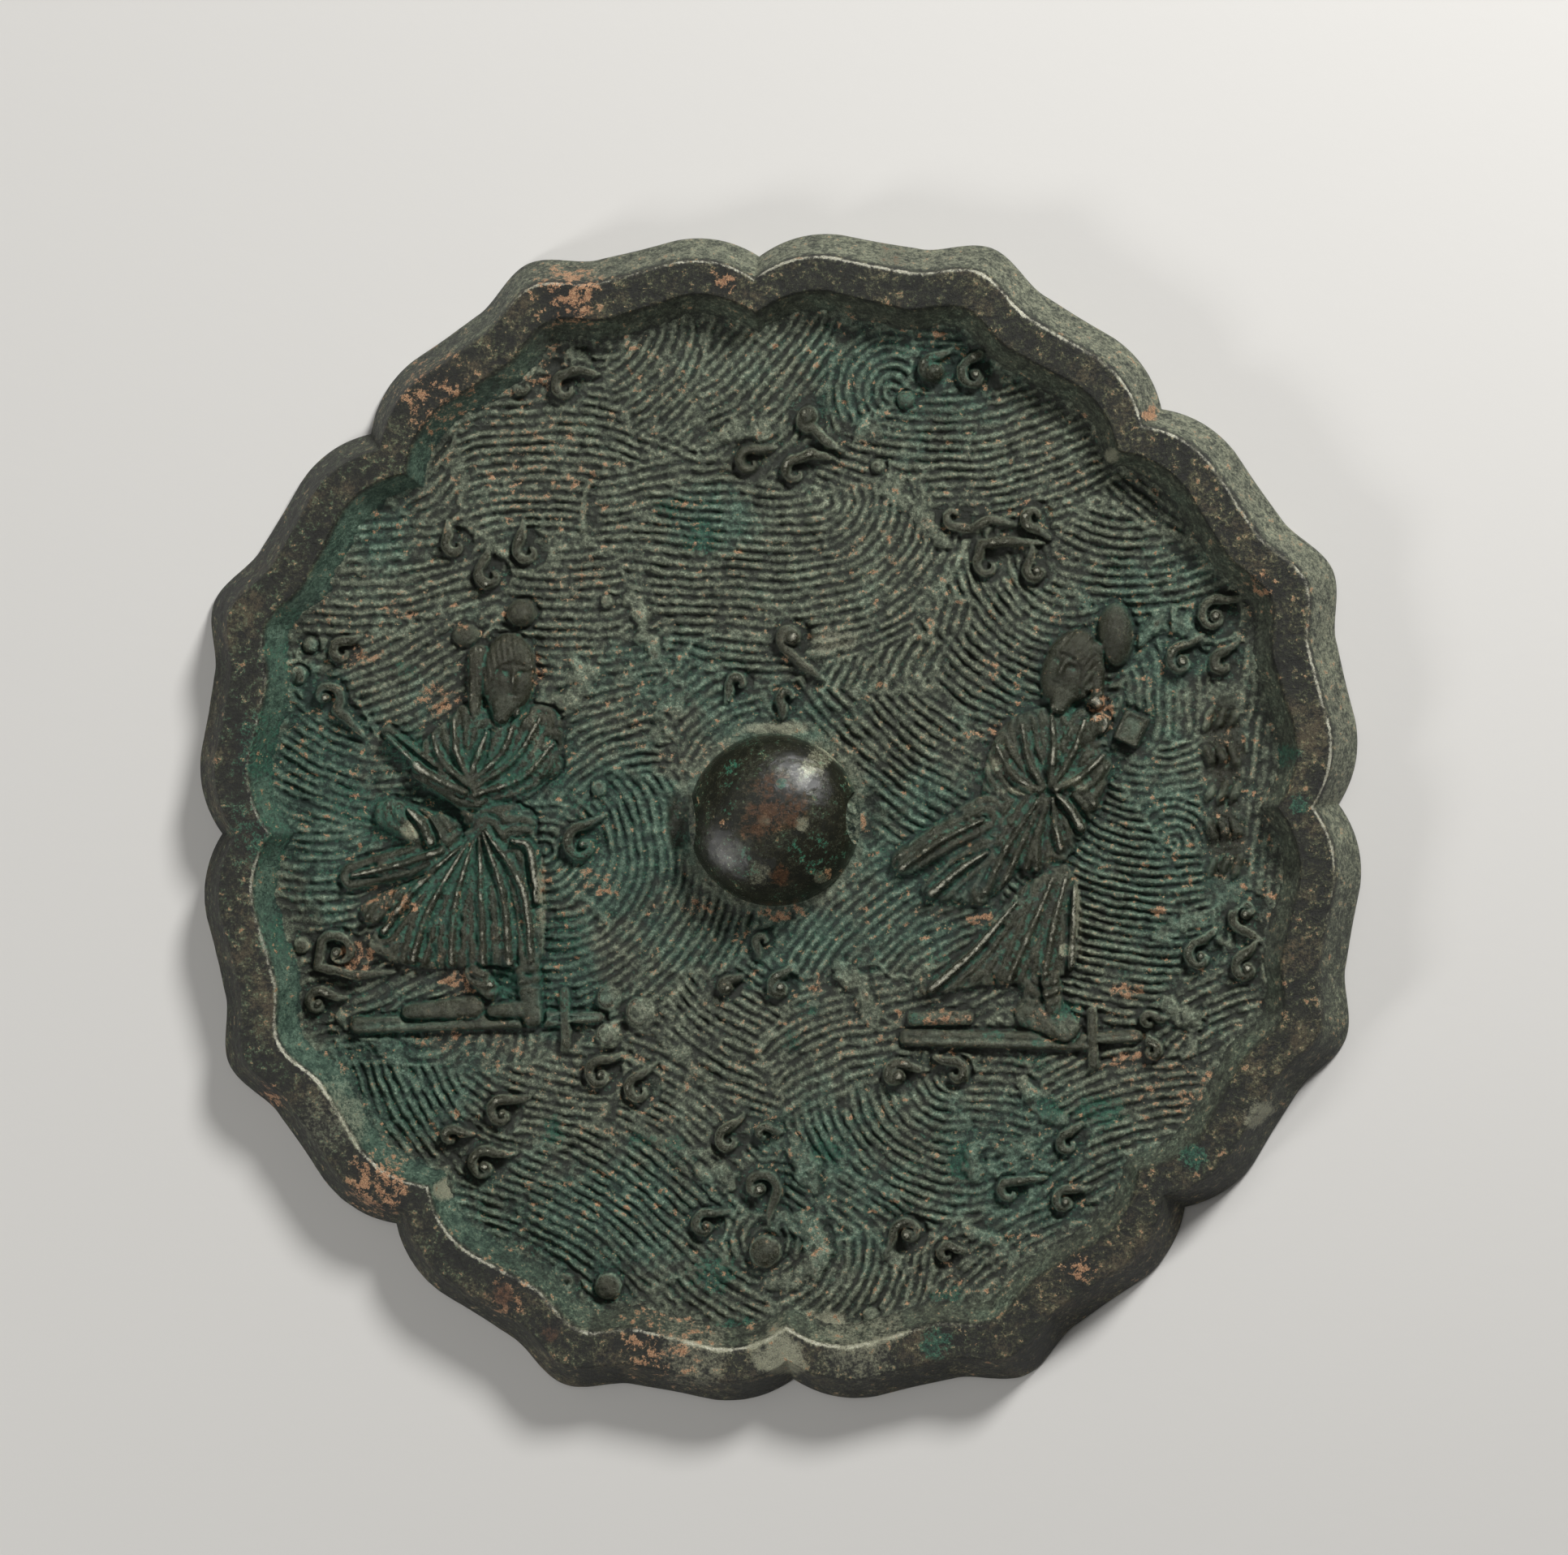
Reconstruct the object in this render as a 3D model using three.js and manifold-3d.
import * as THREE from 'three';
import { mergeVertices } from 'three/addons/utils/BufferGeometryUtils.js';
import Module from 'manifold-3d';

// A cast bronze mirror lying on its flat reflecting face, millimetres, +Z up.
// The eight-lobed rim, the plate, the pierced knob and the relief are one casting.

const wasm = await Module();
wasm.setup();

// Outline: eight bracket-shaped lobes, each from a notch over a shoulder to a point
const lobeCount = 8;
const notchReach = 86.3;
const shoulderReach = 90.1;
const tipReach = 93.5;
const dipDepth = 0.3;
const shoulderPlace = 0.36;
const sweepPlace = 0.7;
const notchRoundness = 2.2;
const stepsPerLobe = 14;

// Section of the rim and the plate
const plateThickness = 3;
const rimHeight = 8.5;
const edgeHeight = 1.1;
const wallRun = 3.6;
const rimTopWidth = 5;
const innerRun = 4;
const tipStretch = 0.12;

// The knob in the middle and the arched hole that the cord went through
const knobRadius = 13.2;
const knobRise = 9.8;
const knobSides = 26;
const knobRings = 5;
const holeWidth = 8;
const holeHeight = 5.2;
const holeFloor = 0.15;
const holeCutLength = 40;

// Relief above the plate
const ornamentShift = [0.6, 0.6];
const rootDepth = 0.6;
const degreesPerStep = 58;
const swirlRise = 1.3;
const swirlWidth = 1.9;
const swirlTightening = 1.5;
const swirlEye = 0.3;
const heartSwell = 0.35;
const dropSwell = 0.9;
const crestRise = 0.75;
const crestWidth = 1.8;
const foldRise = 0.6;
const foldWidth = 1.1;
const robeRise = 1.7;
const limbLift = 0.2;
const sideSlope = 0.55;
const headRise = 3;
const swordRise = 1.2;
const swordWidth = 2.8;
const hiltWidth = 2;
const guardLength = 8;
const guardWidth = 1.6;
const guardRise = 1.45;
const strokeRise = 0.7;
const strokeWidth = 0.7;
const strokeLength = 3;
const strokeShortening = 0.6;
const strokeLean = 1;
const strokeMargin = 2;
const strokeRows = 5;
const strokesPerRow = 3;

// Curls of spray: place, radius, angle where the band starts, angle that it winds through
// (positive is anticlockwise), radius of the ball at its heart, then the points of its tail.
const curls = [
  [3, 27.3, 2.8, 225, -250, 1.9, [8, 20.5], [4, 23.5]],
  [2.2, 18, 2.2, 200, -230, 0],
  [-5.5, 20.3, 2.2, 180, -240, 0],
  [6.6, 61, 2.9, 290, -210, 2.2, [12, 55.3], [9, 57.2]],
  [4.5, 52.5, 2.8, 90, 270, 0, [10.5, 54.3], [7, 55.2]],
  [-2.5, 54.2, 2.9, 80, 280, 0],
  [33.5, 37.5, 2.7, 140, 260, 0, [42, 40.5], [36, 41], [32.5, 40.6]],
  [40.9, 36.4, 2.5, 150, 260, 1],
  [28.5, 45, 2.4, 270, -230, 0, [37.5, 43.6], [34, 44.4], [31, 42.9]],
  [40.8, 44.5, 2.5, 250, -250, 0],
  [26, 67.1, 3, 100, 200, 2.2],
  [32.4, 66.5, 3.3, 110, 260, 1.2],
  [67.9, 28.7, 3.4, 80, 300, 1.4],
  [62.7, 22, 3.1, 100, 280, 1.3],
  [69, 21.3, 2.6, 110, 240, 0],
  [71.2, -16.8, 3.3, 250, -280, 1.2],
  [64.2, -23, 3, 110, 270, 1],
  [71.2, -25, 2.8, 120, 270, 1.2],
  [56, -32.7, 1.8, 60, 300, 0],
  [56.2, -37.3, 1.9, 60, -300, 0],
  [17.3, -40.2, 2.9, 60, 280, 1.6],
  [26, -40, 2.6, 90, -270, 0],
  [-0.3, -26.2, 2.6, 110, 270, 1.2],
  [-8.5, -26, 1.9, 90, 250, 1.2],
  [-3, -19.2, 1.8, 200, -240, 0],
  [-30.2, -3.5, 3.6, 100, 330, 1],
  [-28.5, -39, 3.1, 90, 300, 1],
  [-22.5, -41.5, 3, 110, 270, 0],
  [-9, -49.5, 2.7, 110, 280, 0],
  [-3.5, -48.7, 1.9, 60, 260, 0],
  [-4.5, -57.1, 3.6, 330, 330, 1.4],
  [-13, -62.5, 2.8, 80, 290, 1],
  [-35, -71.3, 2.2, 180, -220, 0],
  [-44, -44.6, 3, 80, 300, 0.9],
  [-52, -48.2, 2.2, 60, 260, 0],
  [-47, -52.7, 3.3, 70, 310, 1.2],
  [-69, -19.3, 3.8, 140, -320, 1.2, [-60, -22.5], [-66, -22.8], [-72, -21.4]],
  [-72, -27, 2.8, 60, 290, 1],
  [-69.4, 20, 3.3, 310, 300, 1.1, [-63.5, 13.8], [-66.4, 17]],
  [-66.5, 27, 2.5, 90, 290, 0],
  [-37.2, 41.8, 2.8, 150, 250, 0],
  [-43.2, 38.2, 2.9, 140, 260, 0],
  [-48.4, 43, 2.5, 160, 220, 0],
  [-37, 67, 2.3, 110, 240, 0],
  [-30.4, 66.5, 2.9, 110, 250, 0, [-25.5, 68.3], [-28.5, 69.2]],
  [43.2, -51.2, 2.4, 110, 280, 0],
  [42.5, -60, 2.7, 80, 300, 1],
  [34, -58.4, 2.5, 120, 230, 0, [39.5, -56.4], [36, -56.6]],
  [18, -64.6, 3, 170, -300, 1.4],
  [24, -67.7, 2.1, 60, 300, 0],
];

// Plain round drops of spray: place and radius
const drops = [
  [-4, -66.8, 2.6], [-28.5, -71.6, 2.2], [-73.6, 23.6, 1.5], [-71.6, 28.2, 1.3],
  [-74.4, -18, 1.4], [-27.5, 5, 1.3], [-25.3, 33.5, 1.1], [21.5, 63, 1.4],
  [12, -77, 1.4], [17, 53, 1.2],
];

// Crests where one run of waves breaks over the next: points along each
const crests = [
  [[16, 54.5], [20, 49], [24, 44], [27.5, 40.5]],
  [[13.5, 57], [17, 60], [20, 62.5]],
  [[-8.5, 57], [-4.5, 59.6], [0.5, 59.9], [3.6, 58.6]],
  [[-22, 35], [-19.5, 28], [-17, 23], [-13, 20]],
  [[-13.5, 20], [-16.5, 15.5], [-20, 11]],
  [[8, -22.5], [11.5, -27.5], [14.5, -33]],
  [[-17, -29], [-18.2, -32], [-18.5, -35]],
  [[-69.5, -28.5], [-64, -32.5], [-60, -37], [-57, -41]],
  [[0, -49], [2.4, -53], [4, -58]],
  [[-7.5, -59.6], [-2, -61.6], [3, -63.6], [4.2, -68], [0, -71.6], [-5.5, -71.6]],
  [[35.5, -41], [39.5, -45.6], [43, -48.4]],
  [[55, 24.5], [58.4, 27.4], [61.6, 28.4], [65, 26.3], [72, 25]],
  [[57, -20], [61, -18.6], [65.4, -17.4]],
  [[56.5, -30.3], [60.5, -31.5], [62.7, -35], [61, -38.5]],
  [[26.3, -62.8], [31, -67], [35, -69]],
  [[25.3, -66], [28.5, -69]],
  [[32, -50], [28.6, -52.6], [30.2, -55.2], [35, -54.2], [40, -54.8]],
  [[40, -51.6], [35.6, -52.4], [32, -52.8]],
  [[14.4, -64], [16.6, -68.4], [19, -72]],
  [[-14.6, -53.4], [-11, -55.4], [-8.4, -57]],
  [[-30.5, 73.6], [-30, 71], [-26.8, 70.1]],
  [[-36.6, 22.2], [-34.6, 18.6], [-30.4, 18.8], [-28.8, 22.4], [-30.8, 25.6]],
];

// The immortal on the left: robes as outlines, sleeves and limbs as lobes, folds as ridges
const leftFigure = {
  heads: [[-40.9, 22.6, 4.2, 6.4, 1], [-38.6, 32.2, 2.3, 2.2, 0.7], [-47.4, 29, 2, 1.8, 0.5]],
  outlines: [
    [[-36, 18], [-33, 15.4], [-33.6, 9], [-38, 4], [-46, 2.6], [-53, 4.6], [-56, 10], [-52, 15.2],
      [-46, 17.6]],
    [[-43, 3.6], [-37.6, -2], [-37, -12], [-37.6, -21.6], [-46, -21.8], [-57, -21.8], [-64, -18],
      [-58, -12], [-51, -4]],
  ],
  lobes: [
    [-41.6, 19, -43, 15.4, 2.5, 1.2, 1.3], [-54, 9, -47, 4.4, 2.6, 3, 1.1],
    [-60, 2, -52, -1.6, 2.4, 3.2, 1], [-66, -7.6, -52, -4, 2.2, 3, 0.8],
    [-63, -13, -50, -9, 2, 3, 0.8], [-47.6, -23, -45.4, -25.6, 1.7, 1.5, 0.7],
    [-39.4, -22, -38.8, -30, 2, 1.6, 0.8],
  ],
  folds: [
    [[-36, 16], [-40, 10], [-46.6, 5.6]], [[-34.2, 12], [-39, 7], [-46.4, 4.6]],
    [[-39.4, 17.4], [-42, 11], [-47, 6.4]], [[-53, 14.4], [-51.4, 10], [-47.4, 6.2]],
    [[-49.4, 16.2], [-49, 11], [-47.2, 6.6]], [[-60, 14], [-54.6, 8.6], [-48, 5]],
    [[-45, -1], [-39.6, -10], [-38.6, -21]], [[-45.4, -1.4], [-42.6, -11], [-42, -21.4]],
    [[-46, -2], [-46, -12], [-46, -21.4]], [[-47, -2.6], [-50, -12], [-51, -21.4]],
    [[-48, -3], [-54, -12.6], [-57, -20.6]], [[-49, -3.4], [-56, -9.4], [-61.4, -16]],
    [[-66, -7.4], [-59, -6], [-52, -4]],
  ],
  blade: [-66, -30.6, -34.6, -30.2],
  hilt: [-33, -30.2, -28.6, -30.2],
  pommel: [[-27, -27.4, 2.2], [-27.2, -33, 2.2], [-22, -29.8, 2.8]],
};

// The immortal on the right, with a small tablet held out in front
const rightFigure = {
  heads: [[45.6, 20.8, 4.5, 5.6, 1], [46.8, 24.2, 3.6, 2.4, 0.9], [52.6, 26.2, 2.8, 4.8, 0.85]],
  outlines: [
    [[36, 13.6], [42, 15.6], [48.6, 14.4], [51, 9], [50, 2.4], [47, -3.6], [42.6, -9], [37, -9],
      [32.6, -5], [31.4, 3], [33, 9.6]],
    [[43, -8.4], [45.5, -12], [45.2, -20], [44, -25], [37, -26.4], [30, -26.8], [20, -28],
      [28, -21.4], [36, -13]],
  ],
  lobes: [
    [48.2, 18, 49.6, 16, 1.8, 1, 1.2], [44, 8.6, 49.6, 12.8, 2.4, 1.8, 1.2],
    [33, 0, 19.4, -7.4, 3.2, 2.2, 0.8], [34, -5, 23.6, -11.8, 3.2, 1.9, 0.7],
    [38, -26, 38.4, -29.2, 1.5, 1.3, 0.7], [41, -25.6, 41.4, -30.4, 1.6, 1.4, 0.8],
  ],
  folds: [
    [[34, 10], [36.6, 5.2], [40.6, 2.8]], [[38, 13], [39, 7.6], [41, 3.4]],
    [[42.6, 14.6], [42.8, 8.6], [42, 3.6]], [[47.6, 13.4], [45.6, 8.2], [42.6, 3.8]],
    [[50.4, 8], [47, 5], [43, 3]], [[40.6, 2], [35.6, -5], [31.6, -12.4]],
    [[41, 1.8], [37, -6], [33.6, -13.4]], [[41.4, 1.6], [39, -6], [37, -12.6]],
    [[41.8, 1.6], [40, -4], [39.6, -9]], [[42.4, 1.8], [42.6, -2], [43.4, -6]],
    [[43, 2.2], [45, 0], [46.6, -3]], [[42, -10.6], [38.6, -18], [35, -25.6]],
    [[44, -10.6], [42, -17.6], [40.4, -25]], [[36.4, -14], [30, -21], [23, -27]],
    [[31.6, -1.4], [25, -4.4], [19, -8.4]], [[32, -6.4], [28, -8.8], [23.4, -12.4]],
  ],
  blade: [46.6, -35.8, 19, -34.4],
  hilt: [48, -35.2, 54, -35],
  pommel: [],
};
const tablet = [54.6, 11.9, 5, 4.2, 64];
const strokeColumn = [68.2, 15, 5.6, 5.6];

// Reach of the outline at an angle, from notch through shoulder and dip to the lobe's point
function outlineReach(angle) {
  const halfLobe = Math.PI / lobeCount;
  const turn = THREE.MathUtils.euclideanModulo(angle, 2 * halfLobe);
  const along = Math.min(turn, 2 * halfLobe - turn) / halfLobe;
  if (along < shoulderPlace) {
    const rounding = 1 - (1 - along / shoulderPlace) ** notchRoundness;
    return THREE.MathUtils.lerp(notchReach, shoulderReach, rounding);
  }
  const sweep = THREE.MathUtils.smoothstep(along, sweepPlace, 1);
  const dip = Math.sin(Math.PI * Math.min(1, (along - shoulderPlace) / (sweepPlace - shoulderPlace)));
  return THREE.MathUtils.lerp(shoulderReach, tipReach, sweep) - dipDepth * dip;
}

// How much further a point of the section lies from the edge under a lobe's point
function insetStretch(angle) {
  const halfLobe = Math.PI / lobeCount;
  const turn = THREE.MathUtils.euclideanModulo(angle, 2 * halfLobe);
  const along = Math.min(turn, 2 * halfLobe - turn) / halfLobe;
  return 1 + tipStretch * THREE.MathUtils.smoothstep(along, shoulderPlace, 1);
}

const footInset = wallRun + rimTopWidth + innerRun;
const fieldReach = tipReach - footInset * (1 + tipStretch);
const unit = fieldReach / Math.max(...curls.map(([x, y]) => Math.hypot(x, y)));

const place = ([x, y], z = plateThickness) =>
  new THREE.Vector3(x * unit + ornamentShift[0], y * unit + ornamentShift[1], z);

// A closed three.js geometry as a solid, with its shared corners joined
function solid(geometry) {
  geometry.deleteAttribute('normal');
  geometry.deleteAttribute('uv');
  const joined = mergeVertices(geometry, 1e-4);
  const corners = joined.index.array;
  const kept = [];
  for (let i = 0; i < corners.length; i += 3) {
    const [a, b, c] = corners.slice(i, i + 3);
    if (a !== b && b !== c && c !== a) kept.push(a, b, c);
  }
  return new wasm.Manifold(new wasm.Mesh({
    numProp: 3,
    vertProperties: new Float32Array(joined.attributes.position.array),
    triVerts: new Uint32Array(kept),
  }));
}

function rimAndPlate() {
  const section = [
    [0, 0], [shoulderReach, 0], [shoulderReach, edgeHeight], [shoulderReach - wallRun, rimHeight],
    [shoulderReach - wallRun - rimTopWidth, rimHeight], [shoulderReach - footInset, plateThickness],
    [0, plateThickness],
  ].map(([radius, height]) => new THREE.Vector2(radius, height));
  const geometry = new THREE.LatheGeometry(section, lobeCount * stepsPerLobe);
  geometry.rotateX(Math.PI / 2);
  const position = geometry.attributes.position;
  for (let i = 0; i < position.count; i += 1) {
    const radius = Math.hypot(position.getX(i), position.getY(i));
    if (radius < 1) continue;
    const angle = Math.atan2(position.getY(i), position.getX(i));
    const reach = outlineReach(angle) - (shoulderReach - radius) * insetStretch(angle);
    position.setX(i, Math.cos(angle) * reach);
    position.setY(i, Math.sin(angle) * reach);
  }
  return solid(geometry);
}

// A flattened ball, half sunk in the plate
function ball(x, y, radiusX, radiusY, rise, sides = 8) {
  const geometry = new THREE.SphereGeometry(1, sides, 4);
  geometry.rotateX(Math.PI / 2);
  geometry.scale(radiusX * unit, radiusY * unit, rise);
  const centre = place([x, y]);
  geometry.translate(centre.x, centre.y, centre.z);
  return solid(geometry);
}

// A roof-shaped ridge that follows a curve through the points
function ridge(points, width, rise, steps) {
  const path = new THREE.CatmullRomCurve3(points.map((point) => place(point)));
  const roof = new THREE.Shape([
    new THREE.Vector2(-rise, 0), new THREE.Vector2(rootDepth, -width / 2),
    new THREE.Vector2(rootDepth, width / 2),
  ]);
  return solid(new THREE.ExtrudeGeometry(roof, { steps, extrudePath: path }));
}

function curl([x, y, radius, start, sweep, heart, ...tail]) {
  const points = [...tail];
  const turns = Math.round(Math.abs(sweep) / degreesPerStep);
  for (let i = 0; i <= turns; i += 1) {
    const angle = THREE.MathUtils.degToRad(start + (sweep * i) / turns);
    const closeness = (i / turns) ** swirlTightening;
    const reach = THREE.MathUtils.lerp(radius - swirlWidth / 2, radius * swirlEye, closeness);
    points.push([x + Math.cos(angle) * reach, y + Math.sin(angle) * reach]);
  }
  const band = ridge(points, swirlWidth, swirlRise, turns + tail.length);
  if (heart === 0) return band;
  return band.add(ball(x, y, heart, heart, swirlRise + heart * heartSwell, 6));
}

// A raised outline with sloping sides
function relief(outline, rise, slope = rise * sideSlope) {
  const geometry = new THREE.ExtrudeGeometry(
    new THREE.Shape(outline.map((point) => place(point))),
    { depth: rootDepth + rise - slope, bevelThickness: slope, bevelSize: slope, bevelOffset: -slope,
      bevelSegments: 1 });
  geometry.translate(0, 0, plateThickness - rootDepth);
  return solid(geometry);
}

// A tapering lobe between two round ends, for a sleeve, a limb, a blade or a hilt
function lobe([x1, y1, x2, y2, radius1, radius2, share], rise = robeRise) {
  const heading = Math.atan2(y2 - y1, x2 - x1);
  const outline = [];
  for (const [x, y, radius, facing] of [[x2, y2, radius2, 0], [x1, y1, radius1, Math.PI]]) {
    for (const side of [-90, -30, 30, 90]) {
      const angle = heading + facing + THREE.MathUtils.degToRad(side);
      outline.push([x + Math.cos(angle) * radius, y + Math.sin(angle) * radius]);
    }
  }
  const slope = Math.min(rise * share * sideSlope, Math.min(radius1, radius2) * sideSlope);
  return relief(outline, rise * share, slope);
}

function sword({ blade, hilt, pommel }) {
  const guardX = (blade[blade[0] < 0 ? 2 : 0] + hilt[0]) / 2;
  const guardY = hilt[1];
  const guard = [guardX, guardY - guardLength / 2, guardX, guardY + guardLength / 2];
  const pieces = [
    lobe([...blade, swordWidth / 2, swordWidth / 2, 1], swordRise),
    lobe([...hilt, hiltWidth / 2, hiltWidth / 2, 1], swordRise),
    lobe([...guard, guardWidth / 2, guardWidth / 2, 1], guardRise),
  ];
  for (const [x, y, radius] of pommel) pieces.push(ball(x, y, radius, radius, swordRise));
  return pieces;
}

function figure(person) {
  return [
    ...person.outlines.map((outline) => relief(outline, robeRise)),
    ...person.lobes.map((part) => lobe([...part.slice(0, 6), 1], robeRise * (part[6] + limbLift))),
    ...person.heads.map(([x, y, radiusX, radiusY, share]) => ball(x, y, radiusX, radiusY,
      headRise * share)),
    ...person.folds.map((points) => ridge(points, foldWidth, robeRise + foldRise, 4)),
    ...sword(person),
  ];
}

// The square tablet in the right-hand immortal's hand
function heldTablet() {
  const [x, y, length, width, turn] = tablet;
  const geometry = new THREE.BoxGeometry(length, width, rootDepth + robeRise);
  geometry.rotateZ(THREE.MathUtils.degToRad(turn));
  const centre = place([x, y], plateThickness + (robeRise - rootDepth) / 2);
  geometry.translate(centre.x, centre.y, centre.z);
  return solid(geometry);
}

// Rows of short slanting strokes where the mirror has a column of raised marks
function strokes() {
  const [x, top, rowHeight, rowWidth] = strokeColumn;
  const pieces = [];
  for (let row = 0; row < strokeRows; row += 1) {
    for (let i = 0; i < strokesPerRow; i += 1) {
      const lean = row % 2 === 0 ? strokeLean / 2 : -strokeLean / 2;
      const reach = (strokeLength - strokeShortening * ((i + row) % 3)) / 2;
      const middleX = x + ((i + 0.5) / strokesPerRow - 0.5) * rowWidth;
      const middleY = top - strokeMargin - row * rowHeight;
      pieces.push(ridge([[middleX - lean, middleY - reach], [middleX + lean, middleY + reach]],
        strokeWidth, strokeRise, 1));
    }
  }
  return pieces;
}

// A domed knob with an arched hole along X at the plate
function piercedKnob() {
  const profile = [new THREE.Vector2(0, plateThickness - rootDepth),
    new THREE.Vector2(knobRadius, plateThickness - rootDepth)];
  for (let i = 0; i <= knobRings; i += 1) {
    const angle = (Math.PI / 2) * (i / knobRings);
    profile.push(new THREE.Vector2(i === knobRings ? 0 : knobRadius * Math.cos(angle),
      plateThickness + knobRise * Math.sin(angle)));
  }
  const dome = new THREE.LatheGeometry(profile, knobSides);
  dome.rotateX(Math.PI / 2);
  const arch = new THREE.Shape();
  const springing = holeHeight - holeWidth / 2;
  arch.moveTo(-holeWidth / 2, 0);
  arch.lineTo(holeWidth / 2, 0);
  arch.lineTo(holeWidth / 2, springing);
  arch.absarc(0, springing, holeWidth / 2, 0, Math.PI);
  const hole = new THREE.ExtrudeGeometry(arch, { depth: holeCutLength, bevelEnabled: false,
    curveSegments: 8 });
  hole.rotateX(Math.PI / 2);
  hole.rotateZ(Math.PI / 2);
  hole.translate(-holeCutLength / 2, 0, plateThickness + holeFloor);
  return { dome: solid(dome), hole: solid(hole) };
}

function mirror() {
  const knob = piercedKnob();
  const raised = [
    ...curls.map(curl),
    ...drops.map(([x, y, radius]) => ball(x, y, radius, radius, radius * dropSwell, 6)),
    ...crests.map((points) => ridge(points, crestWidth, crestRise, points.length - 1)),
    ...figure(leftFigure),
    ...figure(rightFigure),
    heldTablet(),
    ...strokes(),
  ];
  const cast = raised.reduce((whole, piece) => whole.add(piece), rimAndPlate());
  return cast.add(knob.dome.subtract(knob.hole));
}

function bronzeMesh(name, manifold) {
  const { vertProperties, triVerts } = manifold.getMesh();
  const geometry = new THREE.BufferGeometry();
  geometry.setAttribute('position', new THREE.BufferAttribute(vertProperties, 3));
  geometry.setIndex(new THREE.BufferAttribute(triVerts, 1));
  geometry.computeVertexNormals();
  const bronze = new THREE.MeshStandardMaterial({ color: 0x5d6b5c, roughness: 0.55, metalness: 0.6 });
  const mesh = new THREE.Mesh(geometry, bronze);
  mesh.name = name;
  return mesh;
}

const group = new THREE.Group();
group.add(bronzeMesh('bronze_mirror', mirror()));

export default group;
